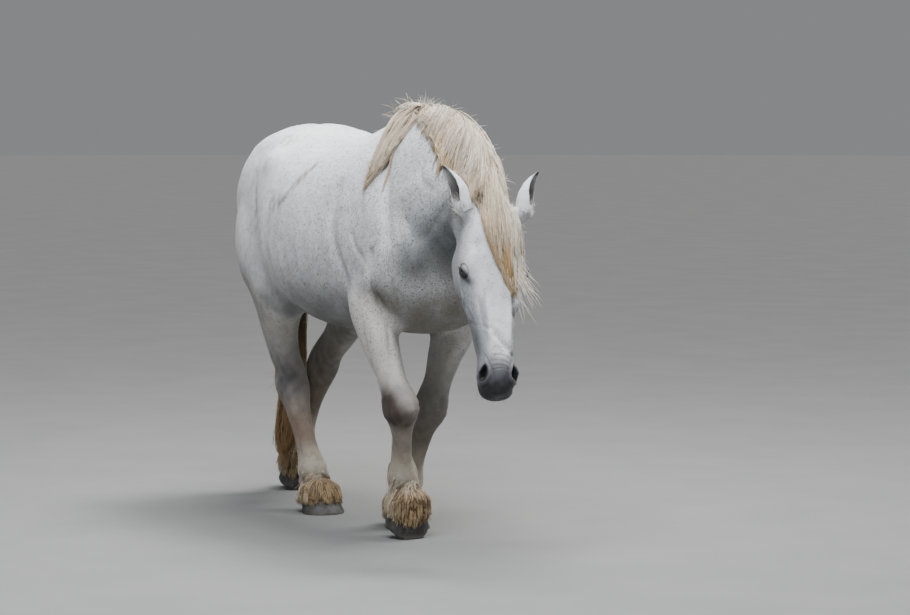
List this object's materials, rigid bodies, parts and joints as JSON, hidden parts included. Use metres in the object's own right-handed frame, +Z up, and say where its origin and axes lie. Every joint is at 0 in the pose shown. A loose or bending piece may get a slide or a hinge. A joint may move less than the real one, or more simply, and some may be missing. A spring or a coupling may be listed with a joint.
{
  "type": "horse",
  "caption": "Life-size still model of a pale grey heavy horse at a slow walk, neck lowered and head turned a little, with mane, forelock, feathered fetlocks and long tail.",
  "frame": {"origin": "middle of the bounding box at floor level, under the belly", "axes": "+X to the horse's left, +Y towards its tail, +Z up"},
  "size_m": [0.7532, 2.5638, 1.6902],
  "materials": {
    "coat": "short flat hair over skin",
    "hair": "long coarse hair",
    "tail_hair": "long coarse hair",
    "horn": "dull horn",
    "eye": "wet, dark"
  },
  "bodies": {
    "root": {"ear_left": "coat", "ear_right": "coat", "eye_left": "eye", "eye_right": "eye", "feather_fore_left": "hair", "feather_fore_right": "hair", "feather_hind_left": "hair", "feather_hind_right": "hair", "foreleg_lower_left": "coat", "foreleg_lower_right": "coat", "foreleg_upper_left": "coat", "foreleg_upper_right": "coat", "forelock": "hair", "head": "coat", "hindleg_lower_left": "coat", "hindleg_lower_right": "coat", "hindleg_upper_left": "coat", "hindleg_upper_right": "coat", "hoof_fore_left": "horn", "hoof_fore_right": "horn", "hoof_hind_left": "horn", "hoof_hind_right": "horn", "mane_neck": "hair", "mane_withers": "hair", "neck": "coat", "tail": "tail_hair", "trunk": "coat"}
  },
  "joints": []
}
